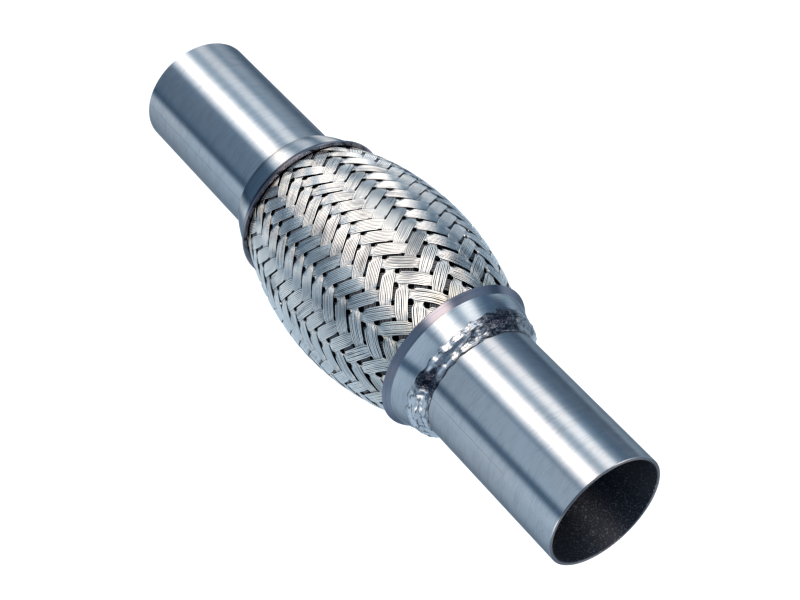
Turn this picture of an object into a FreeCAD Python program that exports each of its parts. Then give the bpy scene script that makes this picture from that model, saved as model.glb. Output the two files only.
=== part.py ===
# Exhaust flex pipe, standing on its inlet end with +Z along its axis.
# Two plain stubs run into a bellows that is lined inside and covered by a woven steel braid.
# A flared collar holds the braid at each end, and a weld bead closes the outlet collar.
import FreeCAD, Part
import math
import os

# Stubs, in mm
PIPE_DIAMETER = 40.0
PIPE_WALL = 1.2
PIPE_EDGE_BREAK = 0.25
STUB_LENGTH = 60.0           # what shows of each pipe, from its mouth to its collar
SPIGOT_STEP = 0.3            # how much smaller the end that goes into the collar is
SPIGOT_LENGTH = 8.0          # how far it reaches into the collar

# Flexible middle
FLEX_LENGTH = 100.0          # over both collars
LAYER_CLEARANCE = 0.05       # between two pieces that are slid over each other

# Collars
COLLAR_LENGTH = 11.5
COLLAR_WALL = 1.5
COLLAR_NECK_STEP = 1.55      # how far its edge stands out from the stub
COLLAR_NECK_LENGTH = 3.0     # stretch that is bored to the pipe
COLLAR_DOME_RISE = 0.3       # how far the shoulder bulges over a straight cone
COLLAR_EDGE_BREAK = 0.35
COLLAR_LIP_LENGTH = 2.6      # stretch that flares away from the braid
COLLAR_LIP_GAP = 0.35        # between the lip and the braid at the mouth

# Lining hose, closed up from a profiled strip
LINER_WALL = 0.3
LINER_STEP = 0.4             # height of one lap of the strip
LINER_LAP_LENGTH = 3.0
LINER_CUFF_LENGTH = 13.0

# Bellows
BELLOWS_WALL = 0.4
BELLOWS_CONVOLUTIONS = 11
BELLOWS_CUFF_LENGTH = 16.2   # from the collar's neck to the first convolution
BELLOWS_CREST_CLEARANCE = 0.7

# Braid
BRAID_THICKNESS = 0.9        # two crossing strands
BRAID_MIDDLE_DIAMETER = 65.7
BRAID_MOUTH_DIAMETER = 49.94 # where the braid leaves a collar
BRAID_SEAT_LENGTH = 6.5      # held inside each collar
BRAID_ANGLE = 59.0           # between a strand and the axis, where the braid is widest
BRAID_TURN = -3.4            # turns the weave about the axis, in degrees
STRANDS_EACH_WAY = 24
STRAND_SIDE_SLOPE = 0.45     # width of a strand's sloping side
STRAND_END_SLOPE = 0.25      # length of the slope where a strand comes up from under another
STRAND_END_DIP = 0.42        # how deep a strand lies there
STRAND_RISE = 2.5            # from there to the strand's flat back
GROOVE_DEPTH = 0.5           # between two strands
GAP_SIZE = 1.1               # length of an open gap beside the strand that runs past it
GAP_NOTCH = 0.25             # how far the gap cuts into that strand's side
GAP_ROWS = 10                # rows of open gaps about the middle, with 12 gaps in each

# Weld bead
BEAD_HEIGHT = 0.9
BEAD_ON_PIPE = 2.4           # how far the bead runs onto the pipe
BEAD_ON_COLLAR = 3.9         # how far the bead runs onto the collar
BEAD_UNEVENNESS = 0.16       # share by which its height and edges wander
BEAD_LAND_MARGIN = 0.1       # from its furthest toe to the shoulder of the outlet's spigot
BEAD_ROOT_DEPTH = 0.3        # overlap with the collar, which is cut away again
BEAD_STATIONS = 60

# Sizes that follow
PIPE_RADIUS = PIPE_DIAMETER / 2
SPIGOT_RADIUS = PIPE_RADIUS - SPIGOT_STEP
BORE_RADIUS = SPIGOT_RADIUS + LAYER_CLEARANCE                   # of each collar
TOTAL_LENGTH = 2 * STUB_LENGTH + FLEX_LENGTH
MIDDLE = TOTAL_LENGTH / 2
COLLAR_START = STUB_LENGTH
COLLAR_MOUTH = COLLAR_START + COLLAR_LENGTH
LAYERS_START = COLLAR_START + COLLAR_NECK_LENGTH + LAYER_CLEARANCE
LINER_RADIUS = BORE_RADIUS                                      # inner
CUFF_RADIUS = LINER_RADIUS + LINER_WALL + LAYER_CLEARANCE       # inner
BRAID_START = COLLAR_MOUTH - BRAID_SEAT_LENGTH
BRAID_END = TOTAL_LENGTH - BRAID_START
COLUMN_TURN = 360.0 / (2 * STRANDS_EACH_WAY)
FACET_SAG = 1 - math.cos(math.radians(COLUMN_TURN))             # share of the radius
BRAID_SEAT_RADIUS = ((CUFF_RADIUS + BELLOWS_WALL + LAYER_CLEARANCE) / (1 - FACET_SAG)
                     + BRAID_THICKNESS)
BEAD_LAND = BEAD_ON_PIPE * (1 + BEAD_UNEVENNESS) + BEAD_LAND_MARGIN
BRAID_MIDDLE_RADIUS = BRAID_MIDDLE_DIAMETER / 2
BRAID_MOUTH_RADIUS = BRAID_MOUTH_DIAMETER / 2

AXIS_POINT = FreeCAD.Vector(0, 0, 0)
AXIS = FreeCAD.Vector(0, 0, 1)


def at(radius, height):
    """A point of a profile, in the plane that is turned about the axis."""
    return FreeCAD.Vector(radius, 0, height)


def line(start, end):
    return Part.LineSegment(start, end).toShape()


def arc(start, middle, end):
    return Part.Arc(start, middle, end).toShape()


def turned(edges):
    """The solid that a closed profile makes when it is turned about the axis."""
    face = Part.Face(Part.Wire(edges))
    return face.revolve(AXIS_POINT, AXIS, 360)


def polyline(points):
    closed = points + points[:1]
    return [line(a, b) for a, b in zip(closed, closed[1:])]


def other_end(shape):
    """The same piece at the outlet end."""
    return shape.mirror(FreeCAD.Vector(0, 0, MIDDLE), AXIS)


# The braid's outside: a barrel between the collars, and a cone inside each collar
def braid_radius(height):
    out = abs(height - MIDDLE)
    half_span = MIDDLE - COLLAR_MOUTH
    if out <= half_span:
        rise = BRAID_MIDDLE_RADIUS - BRAID_MOUTH_RADIUS
        bend = (half_span ** 2 + rise ** 2) / (2 * rise)
        return BRAID_MIDDLE_RADIUS - bend + math.sqrt(bend ** 2 - out ** 2)
    share = (out - half_span) / BRAID_SEAT_LENGTH
    return BRAID_MOUTH_RADIUS + share * (BRAID_SEAT_RADIUS - BRAID_MOUTH_RADIUS)


def stub_pipe(shoulder):
    """A stub that stands on its mouth. Its spigot starts at the height of the shoulder."""
    inside = PIPE_RADIUS - PIPE_WALL
    top = COLLAR_START + SPIGOT_LENGTH
    cut = PIPE_EDGE_BREAK
    return turned(polyline([
        at(inside + cut, 0), at(PIPE_RADIUS - cut, 0), at(PIPE_RADIUS, cut),
        at(PIPE_RADIUS, shoulder), at(SPIGOT_RADIUS, shoulder), at(SPIGOT_RADIUS, top),
        at(inside, top), at(inside, cut)]))


def collar_shoulder():
    """The three points of the collar's outer arc: neck edge, dome and foot of the lip."""
    neck = at(PIPE_RADIUS + COLLAR_NECK_STEP, COLLAR_START)
    foot_height = COLLAR_MOUTH - COLLAR_LIP_LENGTH
    foot = at(braid_radius(foot_height) + LAYER_CLEARANCE + COLLAR_WALL, foot_height)
    dome = (neck + foot) / 2 + FreeCAD.Vector(COLLAR_DOME_RISE, 0, 0)
    return neck, dome, foot


def collar():
    neck, dome, foot = collar_shoulder()
    circle = Part.Arc(neck, dome, foot).toShape().Curve
    wall = FreeCAD.Vector(COLLAR_WALL, 0, 0)

    def shoulder(height):
        reach = circle.Radius ** 2 - (height - circle.Center.z) ** 2
        return at(circle.Center.x + math.sqrt(reach), height)

    start = shoulder(COLLAR_START + COLLAR_EDGE_BREAK)
    seat = shoulder(COLLAR_START + COLLAR_NECK_LENGTH) - wall
    seat_dome = shoulder((seat.z + foot.z) / 2) - wall
    mouth_inside = at(BRAID_MOUTH_RADIUS + COLLAR_LIP_GAP, COLLAR_MOUTH)
    mouth_outside = mouth_inside + wall
    lip_edge = mouth_outside - FreeCAD.Vector(0, 0, COLLAR_EDGE_BREAK)
    lip_face = mouth_outside - FreeCAD.Vector(COLLAR_EDGE_BREAK, 0, 0)
    return turned([
        line(at(BORE_RADIUS, COLLAR_START), neck - FreeCAD.Vector(COLLAR_EDGE_BREAK, 0, 0)),
        line(neck - FreeCAD.Vector(COLLAR_EDGE_BREAK, 0, 0), start),
        arc(start, shoulder((start.z + foot.z) / 2), foot),
        line(foot, lip_edge),
        line(lip_edge, lip_face),
        line(lip_face, mouth_inside),
        line(mouth_inside, foot - wall),
        arc(foot - wall, seat_dome, seat),
        line(seat, at(BORE_RADIUS, seat.z)),
        line(at(BORE_RADIUS, seat.z), at(BORE_RADIUS, COLLAR_START))])


def liner():
    """A lining of closed laps: its wall steps in and out between two plain cuffs."""
    start = LAYERS_START
    end = TOTAL_LENGTH - start
    free = end - start - 2 * LINER_CUFF_LENGTH
    laps = 2 * int(free / LINER_LAP_LENGTH / 2) + 1
    lap = free / laps
    inner = [at(LINER_RADIUS, start)]
    outer = [at(LINER_RADIUS + LINER_WALL, start)]
    for k in range(0, laps, 2):
        foot = start + LINER_CUFF_LENGTH + k * lap
        low, high = foot, foot + lap
        for row, radius, widen in ((inner, LINER_RADIUS, 0.0),
                                   (outer, LINER_RADIUS + LINER_WALL, LINER_WALL)):
            row.append(at(radius, low + widen))
            row.append(at(radius - LINER_STEP, low + widen))
            row.append(at(radius - LINER_STEP, high - widen))
            row.append(at(radius, high - widen))
    inner.append(at(LINER_RADIUS, end))
    outer.append(at(LINER_RADIUS + LINER_WALL, end))
    return turned(polyline(outer + inner[::-1]))


def bellows_side(offset):
    """One side of the bellows' wall, from the inlet cuff to the outlet cuff."""
    start = LAYERS_START
    end = TOTAL_LENGTH - start
    first = start + BELLOWS_CUFF_LENGTH
    pitch = (end - BELLOWS_CUFF_LENGTH - first) / BELLOWS_CONVOLUTIONS
    bend = pitch / 4
    root = CUFF_RADIUS + BELLOWS_WALL / 2
    allowed = braid_radius(first + 2 * bend) - BRAID_THICKNESS - BELLOWS_CREST_CLEARANCE
    crest = allowed * (1 - FACET_SAG) - BELLOWS_WALL / 2
    diagonal = math.sqrt(0.5)
    small = bend - offset
    large = bend + offset
    edges = [line(at(root + offset, start), at(root + offset, first))]
    for k in range(BELLOWS_CONVOLUTIONS):
        z = first + k * pitch
        up = z + bend - offset
        down = z + 3 * bend + offset
        low = root + bend
        high = crest - bend
        edges += [
            arc(at(root + offset, z),
                at(low - small * diagonal, z + small * diagonal), at(low, up)),
            line(at(low, up), at(high, up)),
            arc(at(high, up), at(crest + offset, z + 2 * bend), at(high, down)),
            line(at(high, down), at(low, down)),
            arc(at(low, down),
                at(low - small * diagonal, z + pitch - small * diagonal),
                at(root + offset, z + pitch))]
    edges.append(line(at(root + offset, end - BELLOWS_CUFF_LENGTH), at(root + offset, end)))
    return edges


def bellows():
    low = line(at(CUFF_RADIUS, LAYERS_START), at(CUFF_RADIUS + BELLOWS_WALL, LAYERS_START))
    high = other_end(low)
    outside = bellows_side(BELLOWS_WALL / 2)
    inside = bellows_side(-BELLOWS_WALL / 2)
    return turned(outside + [high] + inside[::-1] + [low])


# The weave is a 2 over 2 under twill. Strands of one direction lean with the turn and the others
# against it, and they cross at whole numbers (p, q): p counts the first kind, q the second.
# p + q is a column along the axis and q - p a row around it. A strand of the first kind lies on
# top in two columns and one of the second kind in the next two, which gives the herringbone.
# Each stretch on top is a ridge two crossings long. Ridges meet at the corners, half-way
# between crossings.
CROSSING = math.radians(COLUMN_TURN) * BRAID_MIDDLE_RADIUS / math.sin(math.radians(BRAID_ANGLE))


def row_heights():
    """Heights of the rows, up from the middle of the braid to its end, and the last whole row."""
    twist = math.sin(math.radians(BRAID_ANGLE)) / BRAID_MIDDLE_RADIUS

    def climb(height):
        return CROSSING * math.sqrt(1 - (twist * braid_radius(height)) ** 2)

    heights = [MIDDLE]
    while heights[-1] < BRAID_END:
        heights.append(heights[-1] + climb(heights[-1] + climb(heights[-1]) / 2))
    last = 2 * ((len(heights) - 2) // 2)
    return heights[:last + 1] + [BRAID_END], last


ROW_HEIGHTS, LAST_ROW = row_heights()


def settled_row(column, row):
    """A corner on a cut end lies on the end's own row."""
    odd_corner = column % 4 == (3 if row > 0 else 1)
    if abs(row) > LAST_ROW or (abs(row) == LAST_ROW and odd_corner):
        return int(math.copysign(LAST_ROW + 1, row))
    return row


def corner(column, row):
    """Turn about the axis, in degrees, and height of a corner."""
    settled = settled_row(column, row)
    height = ROW_HEIGHTS[abs(settled)]
    return column * COLUMN_TURN + BRAID_TURN, height if settled > 0 else 2 * MIDDLE - height


def spot(p, q):
    """Turn and height of any place on the weave."""
    i, j = math.floor(p + 0.5), math.floor(q + 0.5)
    a, b = p - i + 0.5, q - j + 0.5
    corners = (((1 - a) * (1 - b), corner(i + j - 1, j - i)),
               (a * (1 - b), corner(i + j, j - i - 1)),
               ((1 - a) * b, corner(i + j, j - i + 1)),
               (a * b, corner(i + j + 1, j - i)))
    return (sum(share * turn for share, (turn, height) in corners),
            sum(share * height for share, (turn, height) in corners))


def is_open(column, row):
    """Is there an open gap at this corner?"""
    return column % 4 == 0 and abs(row) < GAP_ROWS


class Skin:
    """Points and triangles of a closed surface, with each point kept once."""

    def __init__(self):
        self.points = []
        self.numbers = {}
        self.facets = []

    def point(self, name, turn, radius, height):
        if name not in self.numbers:
            angle = math.radians(turn)
            self.numbers[name] = len(self.points)
            self.points.append((radius * math.sin(angle), -radius * math.cos(angle), height))
        return self.numbers[name]

    def between(self, below, above, flipped):
        """Fill the strip between two chains of (place, point), both in rising order."""
        i = j = 0
        while i < len(below) - 1 or j < len(above) - 1:
            at_end = j == len(above) - 1
            if at_end or (i < len(below) - 1 and below[i + 1][0] <= above[j + 1][0]):
                facet = (below[i][1], below[i + 1][1], above[j][1])
                i += 1
            else:
                facet = (below[i][1], above[j + 1][1], above[j][1])
                j += 1
            self.facets.append(facet[::-1] if flipped else facet)

    def wall(self, outer, inner):
        """Join two closed loops of points, one over the other."""
        for k in range(len(outer)):
            a, b, c, d = outer[k - 1], outer[k], inner[k], inner[k - 1]
            self.facets += [(a, b, c), (a, c, d)]

    def solid(self):
        shape = Part.Shape()
        shape.makeShapeFromMesh((self.points, self.facets), 0.0001)
        return Part.Solid(Part.Shell(shape.Faces))


class Ridge:
    """One stretch of a strand on top of the weave, from the crossing (i, j) to the next."""

    def __init__(self, i, j):
        self.i, self.j = i, j
        self.leans_with_turn = (i + j) % 4 == 0

    def lattice(self, along, across):
        """The place (p, q) for a place along the ridge, 0 to 2, and across it, -0.5 to 0.5."""
        if self.leans_with_turn:
            return self.i + across, self.j - 0.5 + along
        return self.i - 0.5 + along, self.j + across

    def outline(self):
        """The groove round the ridge, as (place around, along, across, name), from one corner on."""
        gap = GAP_SIZE / 2 / CROSSING
        notch = GAP_NOTCH / CROSSING
        ring = []
        for around, along, across in ((0, 0, -0.5), (1, 1, -0.5), (2, 2, -0.5),
                                      (3, 2, 0.5), (4, 1, 0.5), (5, 0, 0.5)):
            p, q = self.lattice(along, across)
            column, row = round(p + q), round(q - p)
            name = (column % (2 * STRANDS_EACH_WAY), settled_row(column, row))
            forward = 1 if across < 0 else -1
            inwards = -math.copysign(1, across)
            if not is_open(column, row):
                places = [(0, along, across)]
            elif along == 1:
                places = [(-gap, along - gap * forward, across),
                          (0, along, across + notch * inwards),
                          (gap, along + gap * forward, across)]
            elif around in (2, 5):
                places = [(-gap, along - gap * forward, across),
                          (gap, along, across + gap * inwards)]
            else:
                places = [(-gap, along, across + gap * inwards),
                          (gap, along + gap * forward, across)]
            for shift, place_along, place_across in places:
                a, b = self.lattice(place_along, place_across)
                side = (int(math.copysign(2, a - p)) if abs(a - p) > abs(b - q)
                        else int(math.copysign(1, b - q))) if len(places) > 1 else 0
                ring.append((around + shift, place_along, place_across, name + (side,)))
        return ring


def braid():
    skin = Skin()
    columns = 2 * STRANDS_EACH_WAY
    flat_side = 0.5 - STRAND_SIDE_SLOPE / CROSSING
    end = STRAND_END_SLOPE / CROSSING
    rise = end + STRAND_RISE / CROSSING
    stations = ((end, STRAND_END_DIP), (rise, 0), (2 - rise, 0), (2 - end, STRAND_END_DIP))

    def point(name, ridge, along, across, depth):
        turn, height = spot(*ridge.lattice(along, across))
        return skin.point(name, turn, braid_radius(height) - depth, height)

    for row in range(-LAST_ROW, LAST_ROW + 1, 2):
        for column in range(0, columns, 2):
            ridge = Ridge((column - row) // 2, (column + row) // 2)
            flipped = ridge.leans_with_turn
            groove, back = [], []
            for around, along, across, name in ridge.outline():
                groove.append((around, along, across,
                               point(name + ("out",), ridge, along, across, GROOVE_DEPTH),
                               point(name + ("in",), ridge, along, across, BRAID_THICKNESS)))
            for side in (-1, 1):
                back.append([(along, point((column, row, along, side), ridge, along,
                                           side * flat_side, depth))
                             for along, depth in stations])
            skin.between(back[0], back[1], flipped)
            ring = [(around, outer) for around, _, _, outer, _ in groove]
            flat = back[0] + [(5 - along, number) for along, number in back[1][::-1]]
            skin.between(ring + [(ring[0][0] + 6, ring[0][1])],
                         flat + [(flat[0][0] + 6, flat[0][1])], flipped)
            lower = [(along, inner) for around, along, _, _, inner in groove if around < 2.5]
            upper = [(along, inner) for around, along, _, _, inner in groove if around > 2.5]
            skin.between(lower, upper[::-1], not flipped)

    for row in range(1 - GAP_ROWS, GAP_ROWS, 2):
        for column in range(0, columns, 4):
            names = [(column, row, side) for side in (-2, -1, 2, 1)]
            skin.wall([skin.numbers[name + ("out",)] for name in names],
                      [skin.numbers[name + ("in",)] for name in names])
    for row, order in ((-LAST_ROW - 1, -1), (LAST_ROW + 1, 1)):
        rim = [(column, row, 0) for column in range(columns)][::order]
        skin.wall([skin.numbers[name + ("out",)] for name in rim],
                  [skin.numbers[name + ("in",)] for name in rim])
    return skin.solid()


def weld_bead():
    """A hand-laid bead over the outlet collar's edge, uneven in height and at its edges."""
    edge = TOTAL_LENGTH - COLLAR_START
    land = edge + BEAD_LAND - LAYER_CLEARANCE
    neck, _, foot = collar_shoulder()
    slope = (foot.x - neck.x) / (foot.z - neck.z)
    skin = Skin()

    def wander(angle, phase):
        return 1 + BEAD_UNEVENNESS * (math.sin(3 * angle + phase) + math.sin(8 * angle + 2 * phase)) / 2

    sections = []
    for k in range(BEAD_STATIONS):
        turn = 360.0 * k / BEAD_STATIONS
        angle = math.radians(turn)
        pipe_toe = (PIPE_RADIUS, edge + BEAD_ON_PIPE * wander(angle, 0.4))
        reach = BEAD_ON_COLLAR * wander(angle, 2.1)
        collar_toe = (neck.x + slope * reach, edge - reach)
        height = BEAD_HEIGHT * wander(angle, 4.0)
        along = (collar_toe[0] - pipe_toe[0], collar_toe[1] - pipe_toe[1])
        length = math.hypot(*along)
        section = [(BORE_RADIUS + 2 * BEAD_ROOT_DEPTH, edge - BEAD_ROOT_DEPTH),
                   (BORE_RADIUS, edge + LAYER_CLEARANCE), (BORE_RADIUS, land),
                   (PIPE_RADIUS, land), pipe_toe]
        for share in (0.1, 0.3, 0.5, 0.7, 0.9):
            lift = height * math.sqrt(math.sin(math.pi * share)) + COLLAR_DOME_RISE * share
            section.append((pipe_toe[0] + share * along[0] - lift * along[1] / length,
                            pipe_toe[1] + share * along[1] + lift * along[0] / length))
        section += [(collar_toe[0] - BEAD_ROOT_DEPTH, collar_toe[1]),
                    (neck.x - BEAD_ROOT_DEPTH, edge - BEAD_ROOT_DEPTH)]
        sections.append([skin.point((k, n), turn, radius, height)
                         for n, (radius, height) in enumerate(section)])
    for k in range(BEAD_STATIONS):
        skin.wall(sections[k], sections[k - 1])
    return skin.solid().cut(other_end(collar()))


os.makedirs("parts", exist_ok=True)
pieces = {
    "inlet_pipe": stub_pipe(COLLAR_START),
    "outlet_pipe": other_end(stub_pipe(COLLAR_START - BEAD_LAND)),
    "inlet_collar": collar(),
    "outlet_collar": other_end(collar()),
    "outlet_weld_bead": weld_bead(),
    "inner_liner": liner(),
    "bellows": bellows(),
    "outer_braid": braid(),
}
for node, shape in pieces.items():
    shape.exportStep("parts/" + node + ".step")
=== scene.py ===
# Exhaust flex pipe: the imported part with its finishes, its woven wires and its weld.
import math

import bmesh
import bpy
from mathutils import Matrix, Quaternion, Vector, noise


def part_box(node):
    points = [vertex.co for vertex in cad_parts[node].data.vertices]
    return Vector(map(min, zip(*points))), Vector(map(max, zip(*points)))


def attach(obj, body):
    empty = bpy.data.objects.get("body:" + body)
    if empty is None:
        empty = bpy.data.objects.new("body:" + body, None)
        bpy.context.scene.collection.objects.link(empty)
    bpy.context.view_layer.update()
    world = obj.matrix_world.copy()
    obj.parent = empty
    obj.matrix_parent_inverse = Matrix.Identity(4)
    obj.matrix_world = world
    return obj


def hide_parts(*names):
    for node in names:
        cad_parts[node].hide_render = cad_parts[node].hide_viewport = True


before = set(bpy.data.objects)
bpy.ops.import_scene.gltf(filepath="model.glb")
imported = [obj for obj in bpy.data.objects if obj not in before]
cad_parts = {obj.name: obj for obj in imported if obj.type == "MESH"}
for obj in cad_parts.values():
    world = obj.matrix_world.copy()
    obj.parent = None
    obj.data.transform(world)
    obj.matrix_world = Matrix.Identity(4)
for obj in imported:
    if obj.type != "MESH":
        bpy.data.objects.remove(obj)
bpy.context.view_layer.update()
scene = bpy.context.scene

# Camera
# A long lens looks down past the outlet end. The camera is rolled, so that the standing pipe
# lies across the picture.
CAMERA_LENS_MM = 84.96
CAMERA_SENSOR_MM = 36.0
CAMERA_AIM = Vector((0, 0, 0.12015))
CAMERA_DISTANCE = 0.5842
CAMERA_ELEVATION = math.radians(34.1)
CAMERA_ROLL = math.radians(135.88)

camera = bpy.data.objects.new("camera", bpy.data.cameras.new("camera"))
scene.collection.objects.link(camera)
scene.camera = camera
camera.data.lens = CAMERA_LENS_MM
camera.data.sensor_width = CAMERA_SENSOR_MM
camera.data.clip_start = 0.01
away = Vector((0, -math.cos(CAMERA_ELEVATION), math.sin(CAMERA_ELEVATION)))
camera.location = CAMERA_AIM + away * CAMERA_DISTANCE
camera.rotation_mode = "QUATERNION"
upright = (-away).to_track_quat("-Z", "Y")
camera.rotation_quaternion = upright @ Quaternion((0, 0, 1), CAMERA_ROLL)


# Studio
# A light tent round the standing pipe: tall soft boxes and black flags that run from floor to
# ceiling, so that each tube shows them as stripes along its length.
class Socket:
    """One output of a node. Arithmetic on it adds Math nodes to its tree."""

    def __init__(self, graph, output):
        self.graph = graph
        self.output = output

    def out(self, name):
        """Another output of the same node."""
        return Socket(self.graph, self.output.node.outputs[name])

    def __add__(self, other):
        return self.graph.math("ADD", self, other)

    def __sub__(self, other):
        return self.graph.math("SUBTRACT", self, other)

    def __rsub__(self, other):
        return self.graph.math("SUBTRACT", other, self)

    def __mul__(self, other):
        return self.graph.math("MULTIPLY", self, other)

    def __truediv__(self, other):
        return self.graph.math("DIVIDE", self, other)

    def __pow__(self, other):
        return self.graph.math("POWER", self, other)

    def __neg__(self):
        return self.graph.math("MULTIPLY", self, -1.0)

    def __abs__(self):
        return self.graph.math("ABSOLUTE", self)

    __radd__ = __add__
    __rmul__ = __mul__


class Graph:
    """Adds nodes to a tree, which starts empty."""

    def __init__(self, tree):
        self.tree = tree
        tree.nodes.clear()

    def node(self, kind, settings=None, values=None, output=0):
        """Add a node. Values are numbers, or links of other nodes, by socket name."""
        made = self.tree.nodes.new(kind)
        for name, value in (settings or {}).items():
            setattr(made, name, value)
        for name, value in (values or {}).items():
            socket = next(s for s in made.inputs if s.identifier == name)
            if isinstance(value, Socket):
                self.tree.links.new(value.output, socket)
            else:
                socket.default_value = value
        return Socket(self, made.outputs[output]) if made.outputs else None

    def math(self, operation, *values):
        sockets = ("Value", "Value_001", "Value_002")
        return self.node("ShaderNodeMath", {"operation": operation}, dict(zip(sockets, values)))

    def step(self, value, start, end):
        """0 before start and 1 after end, with a soft change between them."""
        return self.node("ShaderNodeMapRange", {"interpolation_type": "SMOOTHSTEP"},
                         {"Value": value, "From Min": start, "From Max": end})

    def band(self, value, centre, half, soft):
        """1 within half of the centre, and 0 outside."""
        apart = self.math("WRAP", value - centre, 180.0, -180.0)
        return self.step(abs(apart), half + soft, half - soft)

    def blend(self, share, first, second):
        """A colour between two others."""
        return self.node("ShaderNodeMix", {"data_type": "RGBA"},
                         {"Factor_Float": share, "A_Color": first, "B_Color": second}, 2)


TENT_BRIGHTNESS = 2.2
TENT_GREY = 0.37
# The middle and the half width of each panel, and its soft edge, in degrees of the pipe's own
# side that mirrors it to the camera. Then its brightness low down and higher up.
PANELS = ((14, 12.5, 2, 0.09, 0.39),
          (-53, 13, 9, 0.26, 0.1),
          (-60.5, 5.5, 4, 0.215, 0.045),
          (29.5, 4, 3, 0.05, 0.08),
          (1.5, 1.7, 1.5, 0.13, 0.19),
          (-31.5, 5, 3.5, 0.75, 0.95),
          (-10.5, 7.2, 3, 1.0, 1.0),
          (-10.5, 3, 3, 1.8, 1.8),
          (180, 97, 10, 0.33, 0.33),
          (180, 30, 8, 1.2, 1.2))
LOW, HIGH = -39, -30
# Smaller screens in front of the panels: middle and half width, middle and half height, and
# brightness.
SCREENS = ((-9.5, 5, -61, 7, 0.1),
           (0, 180, 68, 46, 0.06),
           (0, 180, 30, 13, 0.2),
           (-12, 9, 30, 13, 1.8),
           (-50, 6, -53, 6, 1.3),
           (-31, 7, -53, 6, 0.06),
           (17, 8, -53, 6, 0.04),
           (37, 5, -54, 5, 0.9),
           (-60, 6, -17, 3, 0.8),
           (42, 6, -17, 3, 0.8),
           (52, 16, 54, 16, 1.2),
           (-52, 16, 54, 16, 1.2),
           (180, 70, 45, 24, 0.8))
SCREEN_SOFT = 4
SHADOW_BLUE = (1.24, 1.0, 0.81)

world = bpy.data.worlds.new("tent")
scene.world = world
world.use_nodes = True
graph = Graph(world.node_tree)
sky = graph.node("ShaderNodeSeparateXYZ", None, {"Vector": graph.node("ShaderNodeTexCoord")})
east, north, up = sky.out("X"), sky.out("Y"), sky.out("Z")
side = graph.math("DEGREES", graph.math("ARCTAN2", east, math.cos(CAMERA_ELEVATION) - north))
elevation = graph.math("DEGREES", graph.math("ARCSINE", up))
height_share = graph.step(elevation, LOW, HIGH)
light = TENT_GREY
for middle, half, soft, below, above in PANELS:
    panel = below + height_share * (above - below)
    light = light + (panel - light) * graph.band(side, middle, half, soft)
for middle, half, height, half_height, brightness in SCREENS:
    inside = (graph.band(side, middle, half, SCREEN_SOFT)
              * graph.band(elevation, height, half_height, SCREEN_SOFT))
    light = light + (brightness - light) * inside
tint = graph.node("ShaderNodeCombineColor", None,
                  dict(zip(("Red", "Green", "Blue"), (light ** power for power in SHADOW_BLUE))))
background = graph.node("ShaderNodeBackground", None,
                        {"Color": tint, "Strength": TENT_BRIGHTNESS})
graph.node("ShaderNodeOutputWorld", None, {"Surface": background})
scene.view_settings.view_transform = "Standard"

# Floor
# A plain white sheet under the pipe. It glows a little, which keeps its shadows faint, and
# the metal doesn't mirror it.
FLOOR_RADIUS = 4.0
FLOOR_GLOW = 0.97
FLOOR_WHITE = (0.3, 0.3, 0.3, 1)

bm = bmesh.new()
bmesh.ops.create_circle(bm, cap_ends=True, segments=64, radius=FLOOR_RADIUS)
floor_mesh = bpy.data.meshes.new("floor")
bm.to_mesh(floor_mesh)
bm.free()
floor = bpy.data.objects.new("floor", floor_mesh)
scene.collection.objects.link(floor)
floor.visible_glossy = False
floor.visible_shadow = False
floor_paint = bpy.data.materials.new("white sheet")
floor_paint.use_nodes = True
graph = Graph(floor_paint.node_tree)
glow = graph.node("ShaderNodeEmission", None, {"Strength": FLOOR_GLOW})
sheet = graph.node("ShaderNodeBsdfDiffuse", None, {"Color": FLOOR_WHITE})
surface = graph.node("ShaderNodeAddShader", None, {"Shader": glow, "Shader_001": sheet})
graph.node("ShaderNodeOutputMaterial", None, {"Surface": surface})
floor_mesh.materials.append(floor_paint)

# Stub pipes
# Two stainless tubes, cut from welded tube and brushed round on a belt. Their bores keep the
# dark skin of the mill.
PIPE_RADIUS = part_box("inlet_pipe")[1].x
PIPE_MIDDLE = 0.11
RIM_EDGE = 0.00004
BORE_DEPTH = 0.001
BRUSH_DEPTH = 0.000004
BELT_MARKS = 0.4
# Each tube's long seam: its turn in degrees, and the heights where it starts and ends.
INLET_SEAM = (47, 0.0, 0.06)
OUTLET_SEAM = (41, 0.162, 0.198)
SEAM_HALF = 0.22
PIPE_STEEL = (0.43, 0.45, 0.47, 1)
PIPE_WARM = (0.455, 0.445, 0.45, 1)
PIPE_LINES = (0.31, 0.31, 0.33, 1)
PIPE_SEAM = (0.15, 0.16, 0.18, 1)
PIPE_CUT = (0.16, 0.165, 0.18, 1)
PIPE_BORE = (0.055, 0.06, 0.075, 1)
PIPE_BORE_SPECKLE = (0.26, 0.28, 0.33, 1)
PIPE_EDGE_SHEEN = (0.35, 0.37, 0.39, 1)


def finish(name):
    """A new material and its graph, with the place on the piece in metres and round the axis."""
    material = bpy.data.materials.new(name)
    material.use_nodes = True
    graph = Graph(material.node_tree)
    graph.place = graph.node("ShaderNodeTexCoord", None, None, "Object")
    place = graph.node("ShaderNodeSeparateXYZ", None, {"Vector": graph.place})
    graph.x, graph.y, graph.z = place.out("X"), place.out("Y"), place.out("Z")
    graph.turn = graph.math("DEGREES", graph.math("ARCTAN2", graph.x, -graph.y))
    graph.radius = (graph.x * graph.x + graph.y * graph.y) ** 0.5
    return material, graph


def grain(graph, round_scale, along_scale, detail=2.0, roughness=0.5):
    """Noise with its own scale round the pipe and along it, per metre."""
    stretched = graph.node("ShaderNodeMapping", None, {
        "Vector": graph.place, "Scale": (round_scale, round_scale, along_scale)})
    return graph.node("ShaderNodeTexNoise", None, {
        "Vector": stretched, "Scale": 1.0, "Detail": detail, "Roughness": roughness})


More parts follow.
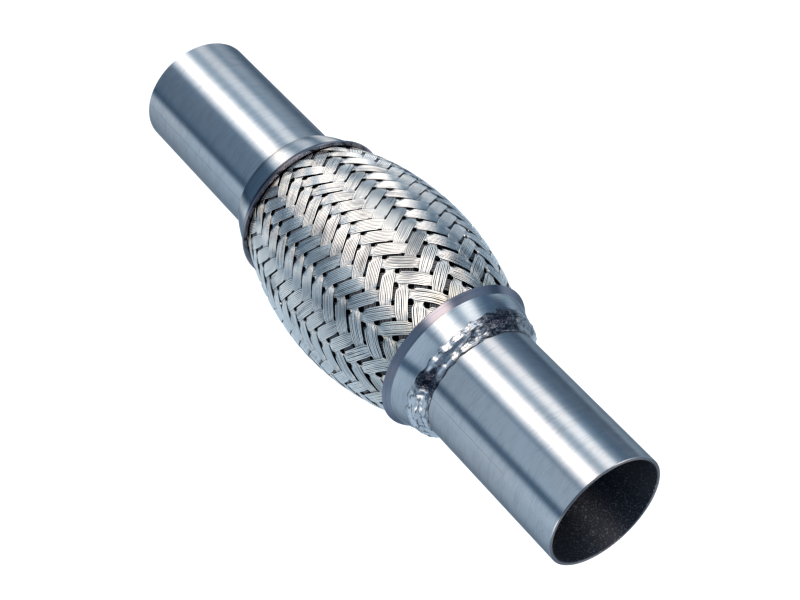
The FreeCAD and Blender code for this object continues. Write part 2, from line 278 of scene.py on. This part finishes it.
def steel(graph, colour, roughness, **more):
    """The metal's own shader."""
    values = {"Base Color": colour, "Roughness": roughness, "Metallic": 1.0}
    values.update((name.replace("_", " "), value) for name, value in more.items())
    shader = graph.node("ShaderNodeBsdfPrincipled", None, values)
    graph.node("ShaderNodeOutputMaterial", None, {"Surface": shader})


def brushed(graph, colour, roughness, amount, normal):
    """Steel brushed round the pipe, which smears what it mirrors along the pipe."""
    steel(graph, colour, roughness, Normal=normal, Anisotropic=amount, Anisotropic_Rotation=0.25,
          Specular_Tint=PIPE_EDGE_SHEEN)


def relief(graph, height, depth):
    """The normal of a surface with this height, where 1 stands for the depth in metres."""
    return graph.node("ShaderNodeBump", None,
                      {"Strength": 1.0, "Distance": depth, "Height": height})


def belt_marks(graph):
    """Short dark marks of a worn belt, denser in patches."""
    marks = grain(graph, 200, 2600, 3.0, 0.7)
    patches = grain(graph, 110, 260, 3.0, 0.6)
    return graph.step(marks + patches * 0.7, 0.76, 1.05)


def pipe_steel(name, seam):
    """The outside is brushed, the bore dark and speckled, and the cut rim dull."""
    seam_turn, seam_start, seam_end = seam
    material, graph = finish(name)
    lines = grain(graph, 110, 2600, 3.0, 0.7)
    scratches = grain(graph, 60, 1500, 4.0, 0.7)
    smudge = grain(graph, 45, 30)
    cut = graph.step(abs(graph.z - PIPE_MIDDLE), PIPE_MIDDLE - 3 * RIM_EDGE,
                     PIPE_MIDDLE - RIM_EDGE)
    bore = graph.step(PIPE_RADIUS - graph.radius, 0.9 * BORE_DEPTH, 1.1 * BORE_DEPTH)
    seam = (graph.band(graph.turn, seam_turn, SEAM_HALF, 0.2)
            * graph.step(graph.z, seam_start, seam_start + 0.001)
            * graph.step(graph.z, seam_end, seam_end - 0.002))
    speckle = graph.node("ShaderNodeTexNoise", None,
                         {"Vector": graph.place, "Scale": 2300.0, "Detail": 2.0})
    outside = graph.blend(graph.step(smudge, 0.35, 0.7), PIPE_STEEL, PIPE_WARM)
    outside = graph.blend(belt_marks(graph) * BELT_MARKS, outside, PIPE_LINES)
    outside = graph.blend(seam * 0.6, outside, PIPE_SEAM)
    inside = graph.blend(graph.step(speckle, 0.54, 0.72), PIPE_BORE, PIPE_BORE_SPECKLE)
    colour = graph.blend(cut, graph.blend(bore, outside, inside), PIPE_CUT)
    roughness = 0.16 + lines * 0.08 + smudge * 0.05 + bore * 0.3 + cut * 0.2
    height = lines * 0.6 + scratches * 0.4 - seam
    brushed(graph, colour, roughness, 0.75, relief(graph, height, BRUSH_DEPTH))
    return material


def dress(node, material):
    """Give a CAD node its finish."""
    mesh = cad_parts[node].data
    mesh.materials.clear()
    mesh.materials.append(material)


dress("inlet_pipe", pipe_steel("brushed pipe, inlet", INLET_SEAM))
dress("outlet_pipe", pipe_steel("brushed pipe, outlet", OUTLET_SEAM))

# Collars
# Pressed stainless rings, turned bright on the shoulder. The heat of the seam weld under the
# flared lip has left a blue and purple tint on it.
LIP_EDGE = 0.00005
COLLAR_MARKS = 0.5
SCRATCH_DEPTH = 0.000008
LIP_BLUE = (0.25, 0.26, 0.31, 1)
LIP_PURPLE = (0.28, 0.255, 0.285, 1)
# The heights where each lip leaves its shoulder and where it ends.
INLET_LIP = (0.0689, 0.0715)
OUTLET_LIP = (0.1511, 0.1485)


def collar_steel(name, lip):
    """Brushed on the shoulder and heat-tinted on the lip."""
    lip_foot, lip_mouth = lip
    material, graph = finish(name)
    lines = grain(graph, 25, 5200, 3.0, 0.6)
    coarse = grain(graph, 30, 2200, 3.0, 0.7)
    smudge = grain(graph, 60, 60)
    past_foot = (graph.z - lip_foot) * math.copysign(1, lip_mouth - lip_foot)
    lip = graph.step(past_foot, -LIP_EDGE, LIP_EDGE)
    tint = graph.blend(graph.step(smudge, 0.4, 0.62), LIP_BLUE, LIP_PURPLE)
    tint = graph.blend(graph.step(coarse, 0.5, 0.75) * 0.6, tint, PIPE_SEAM)
    plain = graph.blend(belt_marks(graph) * COLLAR_MARKS, PIPE_STEEL, PIPE_LINES)
    colour = graph.blend(lip, plain, tint)
    roughness = 0.15 + lines * 0.08 + lip * 0.03
    height = lines * (1 - lip) * 0.4 + coarse * lip
    brushed(graph, colour, roughness, 0.7, relief(graph, height, SCRATCH_DEPTH))
    return material


dress("inlet_collar", collar_steel("collar steel, inlet", INLET_LIP))
dress("outlet_collar", collar_steel("collar steel, outlet", OUTLET_LIP))

# Braid
# A sleeve of 24 flat strands each way, woven 2 over and 2 under. Each strand is eight bright
# stainless wires side by side, and the collars clamp their ends.
STRANDS = 24
WIRES = 8
WIRE_HALF_WIDTH = 0.00028
WIRE_HALF_THICKNESS = 0.00015
WIRE_PITCH = 0.0005
WIRE_SIDES = 6
LAYER_OFFSET = 0.00029
STRAND_SQUEEZE = 0.38
STRAND_TILT = 0.25
WIRE_TILT = 0.15
# How far a whole strand and a single wire wander sideways, how far a wire wanders up and down,
# and how many times that grows towards the outlet, between two heights.
STRAND_WANDER = 0.00012
WIRE_WANDER = 0.00006
WIRE_RISE = 0.000012
LOOSER = 4
LOOSE_FROM = 0.124
LOOSE_TO = 0.142
BRAID_MIDDLE = 0.11
BRAID_RADIUS = 0.03285
BRAID_MOUTH_RADIUS = 0.02497
BRAID_SEAT_RADIUS = 0.02168
BRAID_HALF_SPAN = 0.0385
BRAID_SEAT_LENGTH = 0.0065
BRAID_SKIN = 0.00044
BRAID_ANGLE = math.radians(59)
BRAID_TURN = math.radians(-3.4)
WIRE_STEEL = (0.69, 0.66, 0.625, 1)
WIRE_YELLOW = (0.58, 0.53, 0.43, 1)
WIRE_STAIN = (0.3, 0.3, 0.3, 1)
# The near-black of the painted shade between the wires and under the crossings.
WIRE_PAINTED_SHADE = (0.05, 0.05, 0.055, 1)
WIRE_ROUGHNESS = 0.07
YELLOW_FROM_MIDDLE = (0.026, 0.041)
# Fine steps along a strand between two crossings, and which of the steps get a point: they
# crowd round the dives.
STEPS_PER_CROSSING = 20
STEPS_KEPT = (0, 3, 6, 9, 13, 20, 27, 31, 34, 37)
COLUMN_TURN = math.pi / STRANDS
CROSSING = COLUMN_TURN * BRAID_RADIUS / math.sin(BRAID_ANGLE)


def braid_radius(height):
    """The braid's outside: a barrel between the collars, and a cone inside each collar."""
    out = abs(height - BRAID_MIDDLE)
    if out <= BRAID_HALF_SPAN:
        rise = BRAID_RADIUS - BRAID_MOUTH_RADIUS
        bend = (BRAID_HALF_SPAN ** 2 + rise ** 2) / (2 * rise)
        return BRAID_RADIUS - bend + math.sqrt(bend ** 2 - out ** 2)
    share = (out - BRAID_HALF_SPAN) / BRAID_SEAT_LENGTH
    return BRAID_MOUTH_RADIUS + share * (BRAID_SEAT_RADIUS - BRAID_MOUTH_RADIUS)


def strand_line(name, lean):
    """The middle line of one strand, with its row of crossings at each point."""
    twist = math.sin(BRAID_ANGLE) / BRAID_RADIUS
    step = 1 / STEPS_PER_CROSSING
    heights = [BRAID_MIDDLE]
    while heights[-1] < BRAID_MIDDLE + BRAID_HALF_SPAN + BRAID_SEAT_LENGTH:
        slope = math.sqrt(1 - (twist * braid_radius(heights[-1])) ** 2)
        ahead = heights[-1] + CROSSING * step * slope / 2
        slope = math.sqrt(1 - (twist * braid_radius(ahead)) ** 2)
        heights.append(heights[-1] + CROSSING * step * slope)
    last = len(heights) - 2
    dive = round(lean * STEPS_PER_CROSSING / 2)
    kept = [k for k in range(-last, last + 1)
            if abs(k) == last or (k + dive) % (2 * STEPS_PER_CROSSING) in STEPS_KEPT]
    rows, points = [], []
    for k in kept:
        height = heights[abs(k)] if k >= 0 else 2 * BRAID_MIDDLE - heights[-k]
        turn = BRAID_TURN + lean * k * step * COLUMN_TURN
        radius = braid_radius(height) - BRAID_SKIN
        points.append((radius * math.sin(turn), -radius * math.cos(turn), height))
        rows.append(k * step)
    mesh = bpy.data.meshes.new(name)
    mesh.from_pydata(points, [(k, k + 1) for k in range(len(points) - 1)], [])
    mesh.attributes.new("row", "FLOAT", "POINT").data.foreach_set("value", rows)
    return bpy.data.objects.new(name, mesh)


def weaving_tree(material):
    """Geometry Nodes that turn one strand's middle line into a share of the woven wires."""
    tree = bpy.data.node_groups.new("weaving", "GeometryNodeTree")
    inputs = (("Line", "NodeSocketGeometry", None), ("Lean", "NodeSocketFloat", 1.0),
              ("First Strand", "NodeSocketInt", 0), ("Strands", "NodeSocketInt", STRANDS // 2),
              ("Wires", "NodeSocketInt", WIRES),
              ("Wire Size", "NodeSocketVector", (WIRE_HALF_THICKNESS, WIRE_HALF_WIDTH, 1)),
              ("Wire Pitch", "NodeSocketFloat", WIRE_PITCH),
              ("Layer Offset", "NodeSocketFloat", LAYER_OFFSET))
    for name, kind, default in inputs:
        socket = tree.interface.new_socket(name, in_out="INPUT", socket_type=kind)
        if default is not None:
            socket.default_value = default
    tree.interface.new_socket("Wires", in_out="OUTPUT", socket_type="NodeSocketGeometry")
    graph = Graph(tree)
    given = graph.node("NodeGroupInput")

    def vector(operation, first, second=None, scale=None, output=0):
        values = {"Vector": first}
        if second is not None:
            values["Vector_001"] = second
        if scale is not None:
            values["Scale"] = scale
        return graph.node("ShaderNodeVectorMath", {"operation": operation}, values, output)

    def wander(seed, size, amount):
        """A number that drifts along the wire, up to about the amount each way."""
        field = graph.node("ShaderNodeTexNoise", {"noise_dimensions": "4D"},
                           {"Vector": graph.node("GeometryNodeInputPosition"), "W": seed,
                            "Scale": 1 / size, "Detail": 1.0})
        return (field - 0.5) * (2 * amount)

    line = graph.node("GeometryNodeMeshToCurve", None, {"Mesh": given.out("Line")})
    copies = graph.node("GeometryNodeDuplicateElements", {"domain": "SPLINE"}, {
        "Geometry": line, "Amount": given.out("Strands") * given.out("Wires")})
    number = copies.out("Duplicate Index")
    strand = graph.math("FLOOR", number / given.out("Wires"))
    wire = number - strand * given.out("Wires")
    strand = strand + given.out("First Strand")
    row = graph.node("GeometryNodeInputNamedAttribute", {"data_type": "FLOAT"}, {"Name": "row"})

    place = graph.node("GeometryNodeInputPosition")
    tangent = graph.node("GeometryNodeInputTangent")
    lean = given.out("Lean")
    around = vector("NORMALIZE", vector("CROSS_PRODUCT", (0, 0, 1), place))
    outward = vector("NORMALIZE", vector("CROSS_PRODUCT", around, tangent))
    sideways = vector("CROSS_PRODUCT", outward, tangent)
    along_ring = vector("DOT_PRODUCT", sideways, around, output=1)
    ring = vector("LENGTH", vector("MULTIPLY", place, (1, 1, 0)), output=1)
    across = (wire - (given.out("Wires") - 1) / 2) * given.out("Wire Pitch")

    # Over two and under two: the column of crossings tells which strand is on top. A wire off
    # the strand's middle meets the slanting strands of the other lean sooner or later.
    column = row * lean + strand * 2
    centre = 1.5 - lean
    wave = (column - centre) * (math.pi / 2)
    columns_off = along_ring * across / ring / COLUMN_TURN
    steepness = vector("DOT_PRODUCT", sideways, (0, 0, 1), output=1) / vector(
        "DOT_PRODUCT", tangent, (0, 0, 1), output=1)
    rows_off = across * steepness / CROSSING
    own_wave = wave + (columns_off + lean * rows_off) * (math.pi / 4)
    layer = graph.math("COSINE", own_wave)

    strand_seed = strand + lean * 40
    wire_seed = strand_seed * 20 + wire
    slack = graph.step(abs(layer), 0.4, 0.08)
    narrowing = slack * STRAND_SQUEEZE * (0.72 - 0.28 * lean * graph.math("SINE", own_wave))
    across = across * (1 - narrowing + wander(strand_seed, 0.012, 0.05))
    height = graph.node("ShaderNodeSeparateXYZ", None, {"Vector": place}).out("Z")
    loose = 1 + graph.step(height, LOOSE_FROM, LOOSE_TO) * LOOSER
    across = across + wander(strand_seed + 7, 0.02, STRAND_WANDER) * loose
    across = across + wander(wire_seed, 0.008, WIRE_WANDER) * loose
    lift = layer * given.out("Layer Offset") + wander(wire_seed + 3, 0.005, WIRE_RISE) * loose
    slide = vector("SUBTRACT", sideways, vector("SCALE", around, scale=along_ring))
    moved = vector("ADD", place, vector("SCALE", slide, scale=across))
    moved = vector("ADD", moved, vector("SCALE", outward, scale=lift))
    turn = along_ring * across / ring + strand * (2 * COLUMN_TURN)
    moved = graph.node("ShaderNodeVectorRotate", {"rotation_type": "Z_AXIS"},
                       {"Vector": moved, "Angle": turn})
    tilt = wander(strand_seed + 11, 0.009, STRAND_TILT) + wander(wire_seed + 17, 0.02, WIRE_TILT)
    tilted = vector("ADD", outward, vector("SCALE", sideways, scale=tilt))
    facing = graph.node("ShaderNodeVectorRotate", {"rotation_type": "Z_AXIS"},
                        {"Vector": tilted, "Angle": turn})
    turned = graph.node("GeometryNodeSetCurveNormal", {"mode": "FREE"},
                        {"Curve": copies, "Normal": facing})
    woven = graph.node("GeometryNodeSetPosition", None, {"Geometry": turned, "Position": moved})
    tarnish = wander(strand_seed + 23, 0.012, 0.9) + wander(wire_seed + 29, 0.02, 1.1)
    for name, value in (("layer", layer), ("tarnish", tarnish)):
        woven = graph.node("GeometryNodeStoreNamedAttribute", {"data_type": "FLOAT"},
                           {"Geometry": woven, "Name": name, "Value": value})
    section = graph.node("GeometryNodeCurvePrimitiveCircle", {"mode": "RADIUS"},
                         {"Resolution": WIRE_SIDES, "Radius": 1.0})
    flat_up = graph.node("GeometryNodeTransform", None,
                         {"Geometry": section, "Rotation": (0, 0, math.pi / WIRE_SIDES)})
    off_middle = graph.node("ShaderNodeSeparateXYZ", None, {
        "Vector": graph.node("GeometryNodeInputPosition")}).out("Y")
    marked = graph.node("GeometryNodeStoreNamedAttribute", {"data_type": "FLOAT"},
                        {"Geometry": flat_up, "Name": "flank", "Value": abs(off_middle)})
    section = graph.node("GeometryNodeTransform", None,
                         {"Geometry": marked, "Scale": given.out("Wire Size")})
    wires = graph.node("GeometryNodeCurveToMesh", None,
                       {"Curve": woven, "Profile Curve": section, "Fill Caps": True})
    smooth = graph.node("GeometryNodeSetShadeSmooth", None, {"Geometry": wires})
    real = graph.node("GeometryNodeRealizeInstances", None, {"Geometry": smooth})
    painted = graph.node("GeometryNodeSetMaterial", None,
                         {"Geometry": real, "Material": material})
    output = tree.nodes.new("NodeGroupOutput")
    tree.links.new(painted.output, output.inputs[0])
    return tree


def made_solid(piece, tree, **values):
    """Run a Geometry Nodes tree on a piece, and keep what it makes as a plain mesh."""
    modifier = piece.modifiers.new("nodes", "NODES")
    modifier.node_group = tree
    for item in tree.interface.items_tree:
        if item.item_type == "SOCKET" and item.in_out == "INPUT" and item.name in values:
            modifier[item.identifier] = values[item.name]
    scene.collection.objects.link(piece)
    depsgraph = bpy.context.evaluated_depsgraph_get()
    mesh = bpy.data.meshes.new_from_object(piece.evaluated_get(depsgraph))
    piece.modifiers.remove(modifier)
    piece.data = mesh


def wire_steel():
    """Bright on the wires' crowns, with painted shade between the wires and where a strand
    dives.
    """
    material, graph = finish("bright wire")
    stain = grain(graph, 90, 90, 3.0)
    near_collar = graph.step(abs(graph.z - BRAID_MIDDLE), *YELLOW_FROM_MIDDLE)
    yellow = near_collar * graph.step(stain, 0.35, 0.6)
    layer, flank, tarnish = (
        graph.node("ShaderNodeAttribute", {"attribute_name": name}, None, "Fac")
        for name in ("layer", "flank", "tarnish"))
    colour = graph.blend(yellow * 0.7, WIRE_STEEL, WIRE_YELLOW)
    colour = graph.blend(graph.step(stain + tarnish * 0.3, 0.5, 0.75) * 0.8, colour, WIRE_STAIN)
    # Painted shade: each wire's flanks darken where it meets its neighbours.
    colour = graph.blend(graph.step(flank, 0.6, 0.95) * 0.6, colour, WIRE_PAINTED_SHADE)
    # Painted shade on a strand where it dives under the strands of the other lean, and on what
    # shows of it below them.
    colour = graph.blend(graph.step(layer, 0.15, -0.4) * 0.95, colour, WIRE_PAINTED_SHADE)
    steel(graph, colour, WIRE_ROUGHNESS)
    return material


bright_wire = wire_steel()
weaving = weaving_tree(bright_wire)
for lean, word in ((1.0, "with_turn"), (-1.0, "against_turn")):
    for half in range(2):
        piece = strand_line(f"braid_wires_{word}_{half + 1}", lean)
        made_solid(piece, weaving, Lean=lean, **{"First Strand": half * STRANDS // 2})
        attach(piece, "root")
        if lean > 0 and half == 0:
            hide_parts("outer_braid")

# Bellows and lining
# A corrugated tube of thin rolled stainless, and a hose of folded strip inside it. Both are
# clamped between the collars and the stubs, and show only through the gaps and down the bore.
# The bellows' near-black colour is painted shade: the bellows lie in the braid's shadow.
BELLOWS_PAINTED_SHADE = (0.04, 0.04, 0.04, 1)
LINER_STEEL = (0.14, 0.14, 0.14, 1)
SOOT = (0.02, 0.02, 0.02, 1)
PITTING_DEPTH = 0.00002


def dull_steel(name, colour):
    material, graph = finish(name)
    stain = grain(graph, 200, 200, 3.0)
    shade = graph.blend(graph.step(stain, 0.4, 0.7) * 0.6, colour, SOOT)
    steel(graph, shade, 0.4 + stain * 0.2, Normal=relief(graph, stain, PITTING_DEPTH))
    return material


# Painted shade: the bellows get near-black steel.
dress("bellows", dull_steel("rolled sheet", BELLOWS_PAINTED_SHADE))
dress("inner_liner", dull_steel("rolled strip", LINER_STEEL))

# Weld bead
# A hand-laid bead that joins the outlet collar to its tube: molten metal has run in ripples
# and lumps, and has burnt blue-black in places.
BEAD_TOP = 0.1624
BEAD_FOOT = 0.1561
BEAD_HEIGHT = 0.0010
BEAD_BITE = 0.0004
BEAD_TUCK = 0.001
BEAD_ROOT_RADIUS = PIPE_RADIUS - BEAD_BITE
BEAD_ROUND = 720
BEAD_ACROSS = 20
COLLAR_END = 0.16
COLLAR_END_RADIUS = 0.02155
COLLAR_SLOPE = 0.46
FILLET_BEFORE_END = 0.0006
FILLET_LENGTH = 0.0016
BEAD_NARROWING = 0.0012
# How far the bead's two edges wander. Then the radius at which the pattern of its runs and
# ripples is laid out, and their size and height.
TOP_WANDER = 0.0006
FOOT_WANDER = 0.0008
RUN_RADIUS = 0.0215
RUN_SIZE = 0.0022
RUN_HEIGHT = 0.00022
RIPPLE_SIZE = 0.0016
RIPPLE_HEIGHT = 0.00004
BEAD_GRAIN_DEPTH = 0.00028
# Where painted shade darkens the bead towards its edges, where it meets the collar and the tube,
# from its middle line.
RIM_PAINTED_SHADE = (0.0021, 0.0029)
RIM_WANDER = 0.0016
# The middle and half width of each burnt place, in degrees round the pipe, and how burnt it is.
BURNT = ((-51, 17, 1), (-84, 18, 0.6), (30, 8, 1))
BURNT_BLACK = (0.02, 0.023, 0.035, 1)
BURNT_GREY = (0.35, 0.37, 0.42, 1)
BEAD_SILVER = (0.55, 0.56, 0.58, 1)
# The dark of the cracks between runs, and of the painted shade along the bead's edges.
BEAD_CRACK_AND_SHADE = (0.08, 0.09, 0.11, 1)


def under_bead(height):
    """Radius of the metal under the bead: the collar, a short fillet, then the tube."""
    collar = COLLAR_END_RADIUS + max(0.0, COLLAR_END - height) * COLLAR_SLOPE
    along_fillet = height - COLLAR_END + FILLET_BEFORE_END
    share = max(0.0, min(1.0, along_fillet / FILLET_LENGTH))
    return collar + (PIPE_RADIUS - collar) * share


def ridged(place, size, octaves):
    """Sharp-creased noise, about 0 to 1."""
    return 1 - 2 * abs(noise.fractal(Vector(place) / size, 0.7, 2.1, octaves))


def weld_bead():
    bm = bmesh.new()
    rings = []
    for k in range(BEAD_ROUND):
        turn = 2 * math.pi * k / BEAD_ROUND
        facing = Vector((math.sin(turn), -math.cos(turn), 0))
        lump = noise.noise(facing * 9.0 + Vector((3, 1, 4)))
        top = BEAD_TOP + TOP_WANDER * noise.noise(facing * 7.0 + Vector((0, 5, 2)))
        foot = BEAD_FOOT + FOOT_WANDER * noise.noise(facing * 8.0 + Vector((9, 2, 6)))
        foot += BEAD_NARROWING * max(0.0, math.cos(turn)) ** 4
        ring = [facing * BEAD_ROOT_RADIUS + Vector((0, 0, top))]
        for n in range(BEAD_ACROSS + 1):
            share = n / BEAD_ACROSS
            height = top + (foot - top) * share
            crown = math.sin(math.pi * share) ** 0.8
            spot = facing * RUN_RADIUS + Vector((0, 0, height))
            run = ridged((spot.x * 0.3, spot.y * 0.3, spot.z * 1.2), RUN_SIZE, 3)
            ripple = ridged((spot.x * 0.6, spot.y * 0.6, spot.z * 2.0), RIPPLE_SIZE, 2)
            lift = crown * (BEAD_HEIGHT * (0.8 + 0.5 * lump) + RUN_HEIGHT * run
                            + RIPPLE_HEIGHT * ripple)
            ring.append(facing * (under_bead(height) + lift) + Vector((0, 0, height)))
        ring.append(facing * (COLLAR_END_RADIUS - BEAD_BITE) + Vector((0, 0, foot)))
        ring.append(facing * BEAD_ROOT_RADIUS + Vector((0, 0, COLLAR_END - BEAD_TUCK)))
        rings.append([bm.verts.new(point) for point in ring])
    for k in range(BEAD_ROUND):
        near, far = rings[k - 1], rings[k]
        for n in range(len(near)):
            face = bm.faces.new((near[n - 1], near[n], far[n], far[n - 1]))
            face.smooth = True
    bmesh.ops.recalc_face_normals(bm, faces=bm.faces)
    mesh = bpy.data.meshes.new("weld_bead")
    bm.to_mesh(mesh)
    bm.free()
    piece = bpy.data.objects.new("weld_bead", mesh)
    scene.collection.objects.link(piece)
    return piece


def weld_metal():
    """Silver runs with dark cracks between them, painted shade along the bead's edges, and the
    burnt places.
    """
    material, graph = finish("weld metal")
    ragged = graph.node("ShaderNodeTexNoise", None,
                        {"Vector": graph.place, "Scale": 260.0, "Detail": 4.0})
    flow = grain(graph, 130, 520, 4.0, 0.55)
    crust = graph.node("ShaderNodeTexNoise", None,
                       {"Vector": graph.place, "Scale": 1400.0, "Detail": 3.0, "Roughness": 0.6})
    burnt = 0.0
    for middle, half, share in BURNT:
        burnt = burnt + graph.band(graph.turn + (ragged - 0.5) * 22, middle, half, 4) * share
    from_middle = abs(graph.z - (BEAD_TOP + BEAD_FOOT) / 2) + (ragged - 0.5) * RIM_WANDER
    rim = graph.step(from_middle, *RIM_PAINTED_SHADE)
    cracks = graph.step(abs(flow - 0.48), 0.045, 0.012) * 0.85
    silver = graph.blend(cracks, BEAD_SILVER, BEAD_CRACK_AND_SHADE)
    # Painted shade along the bead's edges, where it meets the collar and the tube.
    silver = graph.blend(rim * 0.6, silver, BEAD_CRACK_AND_SHADE)
    swirl = graph.node("ShaderNodeTexNoise", None,
                       {"Vector": graph.place, "Scale": 650.0, "Detail": 2.0, "Distortion": 1.0})
    threads = graph.step(abs(swirl - 0.5), 0.03, 0.006) * 0.4
    flecks = graph.blend(graph.step(flow, 0.56, 0.68) * 0.4 + threads, BURNT_BLACK, BURNT_GREY)
    colour = graph.blend(burnt, silver, flecks)
    roughness = 0.2 + crust * 0.2 + burnt * 0.05
    steel(graph, colour, roughness, Normal=relief(graph, flow + crust * 0.15, BEAD_GRAIN_DEPTH))
    return material


bead = weld_bead()
bead.data.materials.append(weld_metal())
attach(bead, "root")
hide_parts("outlet_weld_bead")
